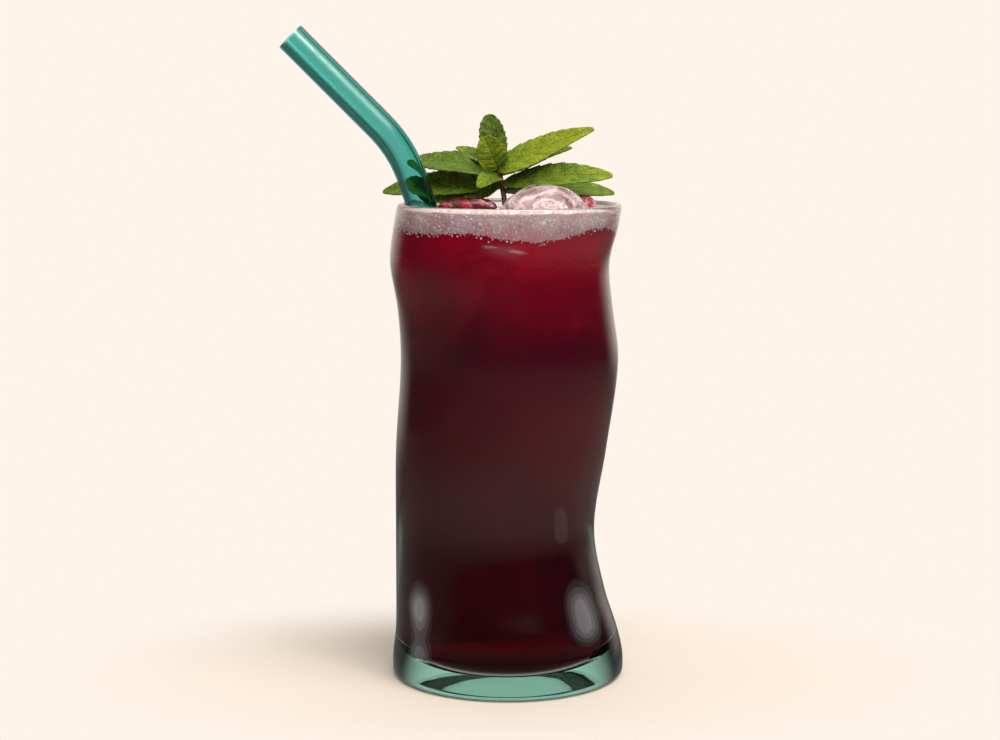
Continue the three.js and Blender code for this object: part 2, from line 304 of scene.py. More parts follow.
def tumbler_body():
    lip = GLASS_HEIGHT - LIP_ROUND
    foot_radius = outer(FOOT_ROUND)
    base = [ring(0, share * (foot_radius - FOOT_ROUND)) for share in (0.3, 0.7, 0.95)]
    foot = quarter(FOOT_ROUND, foot_radius - FOOT_ROUND, FOOT_ROUND, -90, 0, 5)
    outside = [ring(z, outer(z)) for z in spread(FOOT_ROUND, lip, 3)[1:]]
    rim = quarter(LIP_ROUND, outer(lip) - LIP_ROUND, lip, 0, 180, 8)[1:-1]
    inside = cavity_rings(0, lip, 3)[::-1]
    body = ring_tower("tumbler", base + foot + outside + rim + inside, TUMBLER_SIDES)
    smooth(body, 1)
    return body


def froth_wave(x, y):
    angle = math.atan2(y, x)
    share = min(math.hypot(x, y) / inner(JUICE_LEVEL), 1)
    wave = sum(size * math.cos(count * angle - math.radians(turn)) for count, size, turn in FROTH_WAVES)
    return wave * share**3


def shape(body, move):
    """Moves every vertex by a function that works in mm."""
    for vertex in body.data.vertices:
        vertex.co = move(vertex.co / MM) * MM
    body.data.update()


def level_axis(point):
    return point.x - between(JUICE_LEVEL, RIGHT), point.y - between(JUICE_LEVEL, BACK)


def raised(point, rise, reach, inset):
    """Lifts a point of a level disc and keeps its share of the way to the wall."""
    x, y = level_axis(point)
    height = point.z + rise
    share = math.hypot(x, y) / reach
    angle = math.atan2(y, x)
    radius = share * (inner(height) - inset)
    centre = Vector((between(height, RIGHT), between(height, BACK), height))
    return centre + Vector((radius * math.cos(angle), radius * math.sin(angle), 0))


def juice_body():
    rings = cavity_rings(-OVERLAP, JUICE_LEVEL - 2, 2)
    reach = inner(JUICE_LEVEL) + OVERLAP
    rings += [ring(JUICE_LEVEL, reach * share) for share in (1, 0.97, 0.8, 0.6, 0.3)]
    body = ring_tower("juice_in_tumbler", rings, TUMBLER_SIDES)

    def move(point):
        if point.z < JUICE_LEVEL - 0.1:
            return point
        return raised(point, froth_wave(*level_axis(point)) + JUICE_UNDER_FROTH, reach, -OVERLAP)

    shape(body, move)
    return body


def uneven(spot, layers):
    """Rough height from layers of size and pitch."""
    return sum(size * noise.noise(spot * pitch) for size, pitch in layers)


def froth_body():
    under = JUICE_LEVEL - OVERLAP
    reach = inner(JUICE_LEVEL) + 2 * OVERLAP
    top = FROTH_LEVEL + FROTH_CLIMB
    rings = [ring(under, reach * share) for share in (0.3, 0.6, 0.86, 0.97, 1)]
    rings += [ring(z, inner(z) + 2 * OVERLAP) for z in spread(JUICE_LEVEL, top, 0.6)[4:]]
    rings += [ring(top, inner(top) * share) for share in (0.985, 0.96)]
    rings += [ring(FROTH_LEVEL, inner(FROTH_LEVEL) * share) for share in spread(0.92, 0.08, -0.06)]
    body = ring_tower("froth_layer", rings, 4 * TUMBLER_SIDES)

    def move(point):
        x, y = level_axis(point)
        spot = Vector((x, y, 0))
        if point.z < under + 0.05:
            ragged = uneven(spot, FROTH_RAGS)
            return raised(point, froth_wave(x, y) + min(ragged, RAGGED_TOP) - 0.2, reach, -2 * OVERLAP)
        if point.z > FROTH_LEVEL - 0.1:
            point.z += uneven(spot, FROTH_BUMPS)
        return point

    shape(body, move)
    return body


def bubbles_body(name, spots):
    """One mesh of small balls, given by centre and radius in mm."""
    fresh()
    bpy.ops.mesh.primitive_ico_sphere_add(subdivisions=2, radius=1)
    ball = bpy.context.object
    corners = [vertex.co.copy() for vertex in ball.data.vertices]
    sides = [tuple(face.vertices) for face in ball.data.polygons]
    drop(ball)
    points, faces = [], []
    for centre, radius in spots:
        start = len(points)
        points += [(centre + corner * radius) * MM for corner in corners]
        faces += [tuple(start + i for i in side) for side in sides]
    mesh = bpy.data.meshes.new(name)
    mesh.from_pydata(points, [], faces)
    body = bpy.data.objects.new(name, mesh)
    bpy.context.collection.objects.link(body)
    fresh()
    body.select_set(True)
    bpy.context.view_layer.objects.active = body
    bpy.ops.object.shade_smooth()
    return body


def wall_spot(angle, height, depth):
    """A place at a depth inside the tumbler's inner wall."""
    reach = inner(height) - depth
    x = between(height, RIGHT) + reach * math.cos(angle)
    y = between(height, BACK) + reach * math.sin(angle)
    return Vector((x, y, height))


def froth_spots():
    """Bubbles against the wall, along the froth's lower edge and on its top."""
    spots = []
    reach = inner(JUICE_LEVEL)
    for kind, count in (("wall", 1100), ("fringe", 600), ("large", 44)):
        for _ in range(count):
            angle = random.uniform(0, 2 * math.pi)
            edge = JUICE_LEVEL + froth_wave(reach * math.cos(angle), reach * math.sin(angle))
            if kind == "wall":
                radius = random.uniform(0.16, 0.5)
                height = random.uniform(edge, FROTH_LEVEL + 0.4)
            elif kind == "fringe":
                radius = random.uniform(0.1, 0.34)
                height = edge - min(abs(random.gauss(0, 0.7)), 2.2)
            else:
                radius = random.uniform(0.5, 0.9)
                height = random.uniform(edge + 0.5, FROTH_LEVEL - 1)
            spots.append((wall_spot(angle, height, 0.6 * radius - 2 * OVERLAP), radius))
    for degrees, height, radius in BIG_BUBBLES:
        spots.append((wall_spot(math.radians(degrees), height, 0.6 * radius - 2 * OVERLAP), radius))
    while len(spots) < BUBBLE_COUNT:
        x, y = random.uniform(-reach, reach), random.uniform(-reach, reach)
        if math.hypot(x, y) < reach - 1.5:
            radius = random.choice((0.3, 0.4, 0.5, 0.6, 0.9))
            spots.append((Vector((x, y + between(JUICE_LEVEL, BACK), FROTH_LEVEL - 0.2 * radius)), radius))
    return spots


def ice_block(name, block, spare, melt):
    """A rounded block of ice, grown by spare, its surface uneven by melt."""
    centre, half, power, lean = block
    fresh()
    bpy.ops.mesh.primitive_ico_sphere_add(subdivisions=ICE_DETAIL, radius=1)
    body = bpy.context.object
    body.name = body.data.name = name
    turn = Matrix.Rotation(math.radians(lean), 3, "Y")
    offset = Vector(centre)

    def squash(value):
        return math.copysign(abs(value) ** (2 / power), value)

    def move(scaled):
        unit = scaled * MM
        flat = math.hypot(unit.x, unit.y) or 1
        around = flat ** (2 / power)
        point = Vector((squash(unit.x / flat) * around, squash(unit.y / flat) * around, squash(unit.z)))
        point = Vector(p * (h + spare) for p, h in zip(point, half))
        uneven = noise.noise(point * 0.16 + offset) + 0.5 * noise.noise(point * 0.45 + offset)
        point *= 1 + melt * uneven / max(half)
        return turn @ point + offset

    shape(body, move)
    fresh()
    body.select_set(True)
    bpy.ops.object.shade_smooth()
    return body


def straw_line(extra):
    """Points of the straw's centre line, from its foot, lengthened by extra, to its mouth."""
    down = (STRAW_FOOT - STRAW_KNEE).normalized()
    up = (STRAW_MOUTH - STRAW_KNEE).normalized()
    before, after = STRAW_KNEE + down * STRAW_BEND, STRAW_KNEE + up * STRAW_BEND
    start = STRAW_FOOT + down * extra
    points = [start.lerp(before, share) for share in spread(0, 1, 1 / 16)]
    for t in spread(0, 1, 1 / 12)[1:-1]:
        points.append(before * (1 - t) ** 2 + STRAW_KNEE * 2 * t * (1 - t) + after * t * t)
    return points + [after.lerp(STRAW_MOUTH, share) for share in spread(0, 1, 1 / 6)]


def tube_mesh(name, line, loops, sides):
    """Skins closed loops of (station, radius) round a line of points in mm."""
    ways = [(line[min(i + 1, len(line) - 1)] - line[max(i - 1, 0)]).normalized() for i in range(len(line))]
    level = (line[-1] - line[0]).cross(Vector((0, 1, 0)))
    corners, faces = [], []
    for station, radius in loops:
        way = ways[station]
        side = (level - way * level.dot(way)).normalized()
        across = way.cross(side)
        for k in range(sides):
            angle = 2 * math.pi * k / sides
            corners.append((line[station] + (across * math.cos(angle) + side * math.sin(angle)) * radius) * MM)
    closed = loops[0] == loops[-1]
    count = len(loops) - 1
    for i in range(count):
        low = i * sides
        high = ((i + 1) % count if closed else i + 1) * sides
        faces += [(low + k, low + (k + 1) % sides, high + (k + 1) % sides, high + k) for k in range(sides)]
    if closed:
        corners = corners[: count * sides]
    else:
        faces.append(tuple(range(sides))[::-1])
        faces.append(tuple(count * sides + k for k in range(sides)))
    mesh = bpy.data.meshes.new(name)
    mesh.from_pydata(corners, [], faces)
    body = bpy.data.objects.new(name, mesh)
    bpy.context.collection.objects.link(body)
    fresh()
    body.select_set(True)
    bpy.context.view_layer.objects.active = body
    bpy.ops.object.mode_set(mode="EDIT")
    bpy.ops.mesh.select_all(action="SELECT")
    bpy.ops.mesh.normals_make_consistent(inside=False)
    bpy.ops.object.mode_set(mode="OBJECT")
    return body


def straw_rod(name, radius, extra):
    line = straw_line(extra)
    return tube_mesh(name, line, [(i, radius) for i in range(len(line))], STRAW_SIDES)


def straw_tube():
    line = straw_line(0)
    last = len(line) - 1
    ease = 0.35
    skin = [(i, STRAW_RADIUS) for i in range(len(line))]
    lining = [(i, STRAW_BORE) for i in range(last, -1, -1)]
    middle = (STRAW_RADIUS + STRAW_BORE) / 2
    loops = [(0, STRAW_RADIUS - ease)] + skin + [(last, STRAW_RADIUS - ease), (last, middle)]
    loops += [(last, STRAW_BORE + ease)] + lining + [(0, STRAW_BORE + ease), (0, middle), (0, STRAW_RADIUS - ease)]
    body = tube_mesh("straw_tube", line, loops, STRAW_SIDES)
    shade_by_angle(body, 40)
    return body


def stem_line(count):
    """Smooth points through STEM_PATH."""
    points = [Vector(p) for p in STEM_PATH]
    ends = [2 * points[0] - points[1]] + points + [2 * points[-1] - points[-2]]
    line = []
    for i in range(len(points) - 1):
        a, b, c, d = ends[i : i + 4]
        for t in spread(0, 1, 1 / count)[:-1]:
            line.append(
                0.5 * (2 * b + (c - a) * t + (2 * a - 5 * b + 4 * c - d) * t**2 + (3 * b - a - 3 * c + d) * t**3)
            )
    return line + [points[-1]]


def stem_rod(name, radius):
    line = stem_line(5)
    body = tube_mesh(name, line, [(i, radius) for i in range(len(line))], 14)
    shade_by_angle(body, 40)
    return body


def leaf_body(order, leaf):
    """A leaf as a thin solid: folded along its rib, rippled and toothed round its edge."""
    root, tip, face, width, rise, belly, blunt, root_tone_and_painted_light, tip_tone_and_painted_light = leaf
    root, reach = Vector(root), Vector(tip) - Vector(root)
    axis = reach.normalized()
    side = axis.cross(Vector(face)).normalized()
    up = side.cross(axis)
    fresh()
    bpy.ops.mesh.primitive_grid_add(x_subdivisions=LEAF_CELLS[0], y_subdivisions=LEAF_CELLS[1], size=2)
    body = bpy.context.object
    body.name = body.data.name = f"leaf_{order}"
    tone_and_painted_light = body.data.attributes.new("tone_and_painted_light", "FLOAT", "POINT")
    for i, vertex in enumerate(body.data.vertices):
        u, v = (vertex.co.x + 1) / 2, vertex.co.y
        full = math.sin(math.pi * min(u, 1) ** belly) ** blunt if 0 < u < 1 else 0
        half = width / 2 * (LEAF_NECK + (1 - LEAF_NECK) * full)
        tooth = (u * LEAF_TEETH + 0.2 * order) % 1 - 0.5
        half += LEAF_TOOTH * tooth * full * abs(v) ** 3
        fold = LEAF_FOLD * abs(v) * half
        ripple = LEAF_RIPPLE * v * v * math.sin(7 * u + order) * math.sin(math.pi * u)
        vein = math.cos(2 * math.pi * VEIN_PAIRS * (u - VEIN_SWEEP * abs(v)))
        pucker = -LEAF_PUCKER * vein * full * min(1, 3 * abs(v)) * (1 - abs(v) ** 4)
        lift = rise * 4 * u * (1 - u) + fold + ripple + pucker
        vertex.co = (root + reach * u + side * (v * half) + up * lift) * MM
        # The tone runs from root to tip; it is partly the leaf's own colour and partly painted light.
        tone_and_painted_light.data[i].value = root_tone_and_painted_light + (tip_tone_and_painted_light - root_tone_and_painted_light) * u
    body.data.update()
    modify(body, "SOLIDIFY", thickness=LEAF_THICKNESS * MM, offset=0)
    fresh()
    body.select_set(True)
    bpy.ops.object.shade_smooth()
    return body


def join(name, bodies):
    fresh()
    for body in bodies:
        body.select_set(True)
    bpy.context.view_layer.objects.active = bodies[0]
    bpy.ops.object.join()
    made = bpy.context.object
    made.name = made.data.name = name
    return made


def linear(code):
    """An sRGB hex colour as linear RGBA."""
    parts = [int(code[i : i + 2], 16) / 255 for i in (1, 3, 5)]
    return tuple(p / 12.92 if p <= 0.04045 else ((p + 0.055) / 1.055) ** 2.4 for p in parts) + (1.0,)


def repeats(size):
    """How often a pattern of a size in mm repeats in a metre."""
    return 1000 / size


def add(tree, kind, inputs=None, **settings):
    """Adds a node with its settings, values and links. A node as a value links its first output."""
    made = tree.nodes.new("ShaderNode" + kind)
    for name, value in settings.items():
        setattr(made, name, value)
    for socket, value in (inputs or {}).items():
        if isinstance(value, bpy.types.Node):
            value = value.outputs[0]
        if isinstance(value, bpy.types.NodeSocket):
            tree.links.new(value, made.inputs[socket])
        else:
            made.inputs[socket].default_value = value
    return made


def material(name):
    """A new material and its empty node tree."""
    made = bpy.data.materials.new(name)
    made.use_nodes = True
    made.node_tree.nodes.clear()
    return made, made.node_tree


def mint_leaf():
    """Fresh mint leaf: dark to yellow green, partly its own colour and partly painted light from each leaf's tone,
    paler veins with a fine net between them, a soft sheen.
    """
    made, tree = material("mint_leaf")
    flat = add(tree, "SeparateXYZ", {0: add(tree, "UVMap")})
    edge = add(tree, "Math", {0: flat.outputs[1], 1: 2.0, 2: -1.0}, operation="MULTIPLY_ADD")
    across = add(tree, "Math", {0: edge}, operation="ABSOLUTE")
    swept = add(tree, "Math", {0: across, 1: -VEIN_SWEEP, 2: flat.outputs[0]}, operation="MULTIPLY_ADD")
    order = add(tree, "Math", {0: swept, 1: float(VEIN_PAIRS)}, operation="MULTIPLY")
    near = add(tree, "Math", {0: order, 1: 0.5}, operation="PINGPONG")
    branch = add(tree, "MapRange", {0: near, 1: 0.02, 2: 0.1, 3: 0.6, 4: 0.0}, **SMOOTH)
    rib = add(tree, "MapRange", {0: across, 1: 0.02, 2: 0.09, 3: 1.0, 4: 0.0}, **SMOOTH)
    vein = add(tree, "Math", {0: rib, 1: branch}, operation="MAXIMUM")
    place = add(tree, "TexCoord").outputs["Object"]
    mottle = add(tree, "TexNoise", {"Vector": place, "Scale": repeats(3.0), "Detail": 4.0})
    spots = add(tree, "Math", {0: mottle, 1: 0.9, 2: -0.45}, operation="MULTIPLY_ADD")
    # The tone is partly the leaf's own colour and partly painted light, lighter where lit from behind, darker in
    # shade.
    own = add(tree, "Attribute", attribute_name="tone_and_painted_light").outputs["Fac"]
    tone_and_painted_light = add(tree, "Math", {0: own, 1: spots}, operation="ADD")
    greens = add(tree, "ValToRGB", {"Fac": tone_and_painted_light})
    greens.color_ramp.elements[0].color = linear("#203c04")
    greens.color_ramp.elements[1].color = linear("#93a008")
    greens.color_ramp.elements.new(0.45).color = linear("#4a6c06")
    net = add(tree, "TexVoronoi", {"Vector": place, "Scale": repeats(1.4)}, feature="DISTANCE_TO_EDGE")
    mesh = add(tree, "MapRange", {0: net.outputs["Distance"], 1: 0.02, 2: 0.16, 3: 1.0, 4: 0.0}, **SMOOTH)
    strong = add(tree, "Math", {0: vein, 1: 0.4}, operation="MULTIPLY")
    weak = add(tree, "Math", {0: mesh, 1: 0.22}, operation="MULTIPLY")
    fine = add(tree, "Math", {0: strong, 1: weak}, operation="MAXIMUM")
    colour = add(tree, "Mix", {0: fine, 6: greens, 7: linear("#93a23c")}, data_type="RGBA")
    groove = add(tree, "Math", {0: vein, 1: -1.0}, operation="MULTIPLY")
    height = add(tree, "Math", {0: mesh, 1: -0.5, 2: groove}, operation="MULTIPLY_ADD")
    relief = add(tree, "Bump", {"Height": height, "Strength": 0.9, "Distance": 0.3 * MM})
    skin = add(
        tree,
        "BsdfPrincipled",
        {"Base Color": colour.outputs[2], "Roughness": 0.5, "Specular IOR Level": 0.25, "Normal": relief},
    )
    add(tree, "OutputMaterial", {"Surface": skin})
    return made


def mint_stem():
    """Young mint stem: brown purple, slightly downy."""
    made, tree = material("mint_stem")
    place = add(tree, "TexCoord").outputs["Object"]
    streak = add(tree, "TexNoise", {"Vector": place, "Scale": repeats(1.5), "Detail": 2.0})
    share = add(tree, "MapRange", {0: streak, 1: 0.35, 2: 0.65}, **SMOOTH)
    colour = add(tree, "Mix", {0: share, 6: linear("#3a1a1c"), 7: linear("#6b4a2a")}, data_type="RGBA")
    skin = add(tree, "BsdfPrincipled", {"Base Color": colour.outputs[2], "Roughness": 0.55})
    add(tree, "OutputMaterial", {"Surface": skin})
    return made


def absorbing(name, ior, roughness, tint, density):
    """A clear solid that swallows light on its way through: material, tree, surface and output."""
    made, tree = material(name)
    clear = add(
        tree,
        "BsdfPrincipled",
        {"Base Color": (1, 1, 1, 1), "Roughness": roughness, "IOR": ior, "Transmission Weight": 1.0},
    )
    depth = add(tree, "VolumeAbsorption", {"Color": tint, "Density": density})
    end = add(tree, "OutputMaterial", {"Surface": clear, "Volume": depth})
    return made, tree, clear, end


def tumbler_glass():
    """Soda-lime glass, pressed and fire polished: green where it is thick."""
    return absorbing("soda_lime_glass", GLASS_IOR, 0.0, (0.068, 0.633, 0.515, 1), 20)[0]


def straw_glass():
    """Borosilicate tube coloured teal in the melt: deep teal at its edges, clear in the middle."""
    return absorbing("teal_borosilicate_glass", 1.5, 0.0, (0.05, 0.70, 0.66, 1), 900)[0]


def pomegranate_juice():
    """Pressed juice: crimson where thin, nearly black where deep, clouded by fine pulp whose colour by height is
    painted light, a glow near the top and shade towards the bottom.
    """
    made, tree, clear, end = absorbing("pomegranate_juice", JUICE_IOR, 0.0, (0.836, 0.0, 0.18, 1), 220)
    place = add(tree, "TexCoord").outputs["Object"]
    height = add(tree, "SeparateXYZ", {0: place}).outputs[2]
    share = add(tree, "Math", {0: height, 1: JUICE_LEVEL * MM}, operation="DIVIDE")
    pulp = add(tree, "TexNoise", {"Vector": place, "Scale": repeats(14.0), "Detail": 5.0})
    drift = add(tree, "Math", {0: pulp, 1: 0.16, 2: -0.08}, operation="MULTIPLY_ADD")
    level = add(tree, "Math", {0: share, 1: drift}, operation="ADD")
    # The cloud's colour by height is painted light: a painted glow near the top, painted shade towards the bottom.
    depth = add(tree, "ValToRGB", {"Fac": level})
    depth.color_ramp.elements[0].color = linear(CLOUD_PAINTED_LIGHT[0][1])
    depth.color_ramp.elements[1].color = linear(CLOUD_PAINTED_LIGHT[-1][1])
    for position, code in CLOUD_PAINTED_LIGHT[1:-1]:
        depth.color_ramp.elements.new(position).color = linear(code)
    cloud = add(tree, "BsdfPrincipled", {"Base Color": depth, "Roughness": 0.6, "Specular IOR Level": 0.0})
    gloss = add(tree, "BsdfGlossy", {"Roughness": 0.0})
    turned = add(tree, "Fresnel", {"IOR": JUICE_IOR / GLASS_IOR})
    behind = add(tree, "MixShader", {0: turned, 1: cloud, 2: gloss})
    inside = add(tree, "NewGeometry").outputs["Backfacing"]
    outside = add(tree, "Math", {0: 1.0, 1: inside}, operation="SUBTRACT")
    dense = add(tree, "MapRange", {0: level, 1: 0.55, 2: 1.0, 3: CLOUD_LOW, 4: CLOUD_TOP}, **SMOOTH)
    clouded = add(tree, "Math", {0: dense, 1: outside}, operation="MULTIPLY")
    skin = add(tree, "MixShader", {0: clouded, 1: clear, 2: behind})
    tree.links.new(skin.outputs[0], end.inputs["Surface"])
    return made


def wet_ice():
    """Ice sunk in juice: clear, slightly milky."""
    return absorbing("melting_ice", ICE_IOR, 0.05, ICE_TINT, 8)[0]


def foamy_ice():
    """Melting ice above the froth: clear patches between milky arcs of foam, wet all over."""
    made, tree, clear, end = absorbing("foam_washed_ice", ICE_IOR, 0.06, ICE_TINT, 8)
    place = add(tree, "TexCoord").outputs["Object"]
    warp = add(tree, "TexNoise", {"Vector": place, "Scale": repeats(7.0), "Detail": 3.0})
    shift = add(tree, "VectorMath", {0: warp.outputs[1], 1: (0.006, 0.006, 0.006)}, operation="MULTIPLY")
    moved = add(tree, "VectorMath", {0: place, 1: shift}, operation="ADD")
    centred = add(tree, "VectorMath", {0: moved, 1: (0.015, 0, 0.151)}, operation="SUBTRACT")
    flat = add(tree, "VectorMath", {0: centred, 1: (0.75, 0.2, 1)}, operation="MULTIPLY")
    away = add(tree, "VectorMath", {0: flat}, operation="LENGTH").outputs["Value"]
    line = add(tree, "Math", {0: away, 1: 1.1 * MM}, operation="PINGPONG")
    arcs = add(tree, "MapRange", {0: line, 1: 0.2 * MM, 2: 0.6 * MM, 3: 1.0, 4: 0.0}, **SMOOTH)
    patch = add(tree, "TexNoise", {"Vector": place, "Scale": repeats(5.0), "Detail": 4.0})
    veil = add(tree, "MapRange", {0: patch, 1: 0.35, 2: 0.7, 3: 0.12, 4: 0.45}, **SMOOTH)
    milk = add(tree, "Math", {0: arcs, 1: 0.35, 2: veil}, operation="MULTIPLY_ADD")
    height = add(tree, "SeparateXYZ", {0: place}).outputs[2]
    above = add(tree, "MapRange", {0: height, 1: 140 * MM, 2: 144 * MM}, **SMOOTH)
    milk = add(tree, "Math", {0: milk, 1: above}, operation="MULTIPLY")
    share = add(tree, "MapRange", {0: patch, 1: 0.3, 2: 0.6}, **SMOOTH)
    colour = add(tree, "Mix", {0: share, 6: linear("#cf97a4"), 7: linear("#f4e3e6")}, data_type="RGBA")
    relief = add(tree, "Bump", {"Height": arcs, "Strength": 0.5, "Distance": 0.4 * MM})
    foam = add(
        tree,
        "BsdfPrincipled",
        {"Base Color": colour.outputs[2], "Roughness": 0.18, "IOR": 1.33, "Normal": relief},
    )
    skin = add(tree, "MixShader", {0: milk, 1: clear, 2: foam})
    tree.links.new(skin.outputs[0], end.inputs["Surface"])
    return made


def stained_ice(name, deep, pale):
    """Ice soaked with juice: red with paler grains, wet."""
    made, tree = material(name)
    place = add(tree, "TexCoord").outputs["Object"]
    grains = add(tree, "TexVoronoi", {"Vector": place, "Scale": repeats(2.2)}).outputs["Distance"]
    streak = add(tree, "TexNoise", {"Vector": place, "Scale": repeats(3.0), "Detail": 4.0})
    share = add(tree, "MapRange", {0: streak, 1: 0.42, 2: 0.72}, **SMOOTH)
    colour = add(tree, "Mix", {0: share, 6: linear(deep), 7: linear(pale)}, data_type="RGBA")
    relief = add(tree, "Bump", {"Height": grains, "Strength": 0.9, "Distance": 1.2 * MM})
    skin = add(
        tree,
        "BsdfPrincipled",
        {
            "Base Color": colour.outputs[2],
            "Roughness": 0.12,
            "IOR": 1.33,
            "Subsurface Weight": 0.4,
            "Subsurface Radius": (0.003, 0.0006, 0.0008),
            "Subsurface Scale": 1.0,
            "Coat Weight": 0.6,
            "Coat Roughness": 0.05,
            "Normal": relief,
        },
    )
    add(tree, "OutputMaterial", {"Surface": skin})
    return made


def bubble_skin():
    """Froth bubbles: thin wet film, white where they catch the light."""
    made, tree = material("froth_bubbles")
    place = add(tree, "TexCoord").outputs["Object"]
    patch = add(tree, "TexNoise", {"Vector": place, "Scale": repeats(4.0), "Detail": 2.0})
    share = add(tree, "MapRange", {0: patch, 1: 0.4, 2: 0.65}, **SMOOTH)
    colour = add(tree, "Mix", {0: share, 6: linear("#f6ccd6"), 7: linear("#ffffff")}, data_type="RGBA")
    skin = add(tree, "BsdfPrincipled", {"Base Color": colour.outputs[2], "Roughness": 0.1, "IOR": 1.33})
    add(tree, "OutputMaterial", {"Surface": skin})
    return made


def froth_foam():
    """Juice froth: a net of films round tiny bubbles, pink low down and greyish white at the top, where the grey
    is painted shade.
    """
    made, tree = material("pomegranate_froth")
    place = add(tree, "TexCoord").outputs["Object"]
    cells = add(tree, "TexVoronoi", {"Vector": place, "Scale": repeats(1.3)}).outputs["Distance"]
    films = add(tree, "TexVoronoi", {"Vector": place, "Scale": repeats(1.3)}, feature="DISTANCE_TO_EDGE")
    patches = add(tree, "TexNoise", {"Vector": place, "Scale": repeats(9.0), "Detail": 5.0})
    share = add(tree, "MapRange", {0: patches, 1: 0.35, 2: 0.65}, **SMOOTH)
    white = add(tree, "Mix", {0: share, 6: linear("#e9cfd6"), 7: linear("#fffafa")}, data_type="RGBA")
    dark = add(tree, "MapRange", {0: films.outputs["Distance"], 1: 0.0, 2: 0.22, 3: 0.42, 4: 0.0}, **SMOOTH)
    netted = add(tree, "Mix", {0: dark, 6: white.outputs[2], 7: linear("#a8747f")}, data_type="RGBA")
    height = add(tree, "SeparateXYZ", {0: place}).outputs[2]
    uneven = add(tree, "Math", {0: patches, 1: 6 * MM, 2: -3 * MM}, operation="MULTIPLY_ADD")
    rise = add(tree, "Math", {0: height, 1: uneven}, operation="ADD")
    low = add(tree, "MapRange", {0: rise, 1: 141.5 * MM, 2: 146.5 * MM, 3: 0.75, 4: 0.0}, **SMOOTH)
    pink = add(tree, "Mix", {0: low, 6: netted.outputs[2], 7: linear("#ef9db4")}, data_type="RGBA")
    # Painted shade: the top of the froth is greyed.
    painted_top_shade = add(tree, "MapRange", {0: height, 1: 146.6 * MM, 2: 147.6 * MM, 3: 0.0, 4: 0.75}, **SMOOTH)
    colour = add(tree, "Mix", {0: painted_top_shade, 6: pink.outputs[2], 7: linear("#c9b9b9")}, data_type="RGBA")
    relief = add(tree, "Bump", {"Height": cells, "Strength": 0.6, "Distance": 0.4 * MM})
    skin = add(
        tree,
        "BsdfPrincipled",
        {
            "Base Color": colour.outputs[2],
            "Roughness": 0.35,
            "IOR": 1.33,
            "Subsurface Weight": 0.6,
            "Subsurface Radius": (0.004, 0.0026, 0.003),
            "Subsurface Scale": 1.0,
            "Normal": relief,
        },
    )
    add(tree, "OutputMaterial", {"Surface": skin})
    return made


def dress(body, finish, slot, *nodes):
    """Gives a piece its material and body, and hides the solids it stands for. The slot is not used."""
    body.data.materials.clear()
    body.data.materials.append(finish)
    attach(body, "root")
    if nodes:
        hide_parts(*nodes)


def build_drink():
    glass = tumbler_body()
    dress(glass, tumbler_glass(), "tinted_glass", "glass")

    blocks = {"dome": (ICE_DOME, 0.4), "left": (ICE_LEFT, 0.9), "right": (ICE_RIGHT, 0.5)}
    cutters = [ice_block("cut_" + name, block, -OVERLAP, melt) for name, (block, melt) in blocks.items()]
    sunk_cutters = [ice_block(f"cut_sunk_{i}", block, -OVERLAP, SUNK_MELT) for i, block in enumerate(SUNK_ICE)]
    straw_cutter = straw_rod("cut_straw", STRAW_RADIUS - OVERLAP, -OVERLAP)
    stem_cutter = stem_rod("cut_stem", STEM_RADIUS - OVERLAP)
    core = straw_rod("cut_core", STRAW_BORE + OVERLAP, 1.2)

    juice = juice_body()
    whole = juice.copy()
    whole.data = juice.data.copy()
    bpy.context.collection.objects.link(whole)
    carve(core, whole, "INTERSECT")
    for cutter in cutters + sunk_cutters + [straw_cutter, stem_cutter]:
        carve(juice, cutter)
    carve(juice, core, "UNION")
    shade_by_angle(juice, 35)
    dress(juice, pomegranate_juice(), "juice", "juice")

    froth = froth_body()
    for cutter in cutters + [straw_cutter, stem_cutter]:
        carve(froth, cutter)
    shade_by_angle(froth, 50)
    dress(froth, froth_foam(), "froth", "froth")
    drop(whole, core, straw_cutter, stem_cutter, *cutters, *sunk_cutters)

    ice = wet_ice()
    dress(ice_block("ice_dome_clear", ICE_DOME, 0, 0.4), foamy_ice(), "clear_ice", "ice_dome")
    red = stained_ice("juice_soaked_ice", "#4c0410", "#9c1830")
    dress(ice_block("ice_left_red", ICE_LEFT, 0, 0.9), red, "stained_ice", "ice_left")
    pink = stained_ice("pale_soaked_ice", "#b03a4c", "#f0b4be")
    dress(ice_block("ice_right_red", ICE_RIGHT, 0, 0.5), pink, "stained_ice", "ice_right")
    dress(bubbles_body("froth_bubbles", froth_spots()), bubble_skin(), "froth")
    for i, block in enumerate(SUNK_ICE):
        dress(ice_block(f"sunk_ice_{i + 1}", block, 0, SUNK_MELT), ice, "clear_ice")

    dress(straw_tube(), straw_glass(), "teal_glass", "straw")

    sprig = join("mint_leaves", [leaf_body(i, leaf) for i, leaf in enumerate(LEAVES)])
    dress(sprig, mint_leaf(), "mint_leaf", "mint_sprig")
    dress(stem_rod("mint_stalk", STEM_RADIUS), mint_stem(), "mint_leaf")


def mirrored(degrees, height, away):
    """The spot on the wall, and the place that the wall mirrors to the camera from there."""
    angle = math.radians(degrees)
    spot = wall_spot(angle, height, -between(height, WALL))
    around = Vector((-math.sin(angle), math.cos(angle), 0))
    upward = wall_spot(angle, height + 1, -between(height + 1, WALL)) - spot
    normal = around.cross(upward).normalized()
    look = (spot - Vector(CAMERA_PLACE)).normalized()
    return spot, spot + (look - 2 * look.dot(normal) * normal) * away


